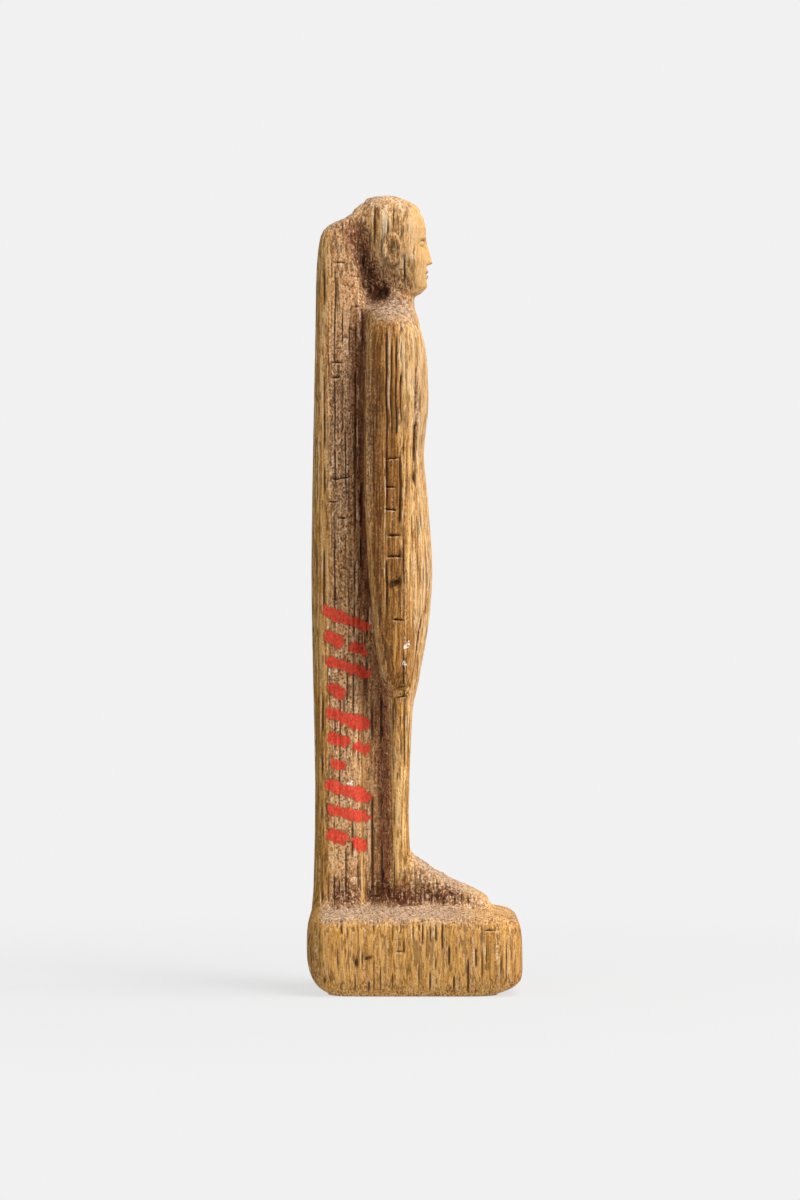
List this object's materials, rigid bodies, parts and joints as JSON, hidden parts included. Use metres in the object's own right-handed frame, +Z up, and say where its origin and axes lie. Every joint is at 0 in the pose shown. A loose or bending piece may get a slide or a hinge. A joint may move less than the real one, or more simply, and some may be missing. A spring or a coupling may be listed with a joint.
{
  "type": "standing figure amulet",
  "caption": "Small wooden standing figure with straight arms and feet together, carved in one with its back pillar and block base.",
  "frame": {"origin": "middle of the underside of the base", "axes": "+Z up the figure and along the grain, -Y the way the figure faces, +X to the figure's left"},
  "size_m": [0.012, 0.0144, 0.0535],
  "materials": {
    "old_wood": "dry and matt, weathered along the grain, golden brown where handled and grey brown in the hollows"
  },
  "bodies": {
    "root": {"standing_figure": "old_wood"}
  },
  "joints": []
}
